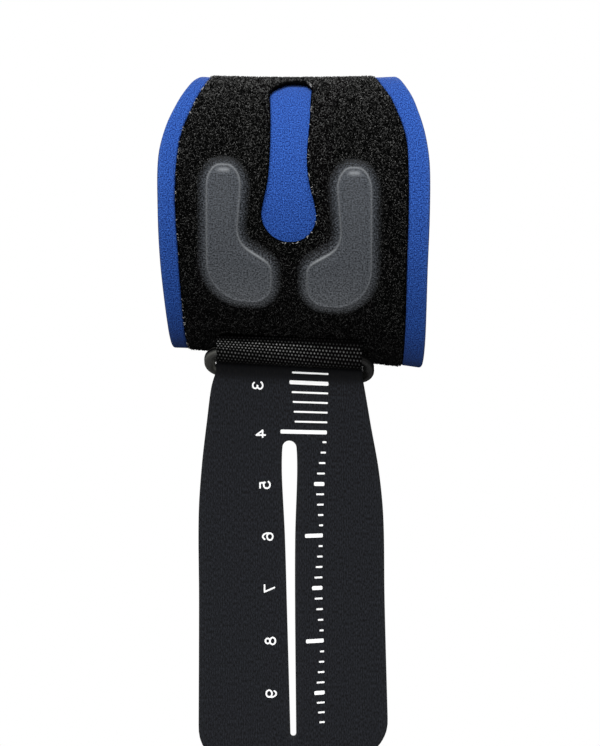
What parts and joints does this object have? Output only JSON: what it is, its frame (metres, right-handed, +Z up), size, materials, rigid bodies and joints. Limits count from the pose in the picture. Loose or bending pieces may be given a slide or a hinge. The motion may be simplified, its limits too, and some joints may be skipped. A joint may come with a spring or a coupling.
{
  "type": "wrist brace",
  "caption": "Wrist brace: a neoprene band with a looped-pile cover, a keyhole window and raised gel pads, closed by a slit strap that runs through a plastic loop.",
  "frame": {"origin": "middle of the wrist hollow", "axes": "+X along the forearm away from the hand, +Z up, -Y out of the front face with the pads"},
  "size_m": [0.0547, 0.0501, 0.1425],
  "materials": {
    "neoprene": "blue knitted jersey on neoprene foam",
    "pile": "black looped pile",
    "gel": "smooth, half clear grey",
    "webbing": "woven black nylon",
    "plastic": "moulded, satin black",
    "strap": "smooth black knit with a white printed scale"
  },
  "bodies": {
    "root": {"base_band": "neoprene", "loop_cover": "pile", "gel_pad_left": "gel", "gel_pad_right": "gel", "webbing_tab": "webbing", "strap_loop": "plastic", "strap": "strap"}
  },
  "joints": []
}
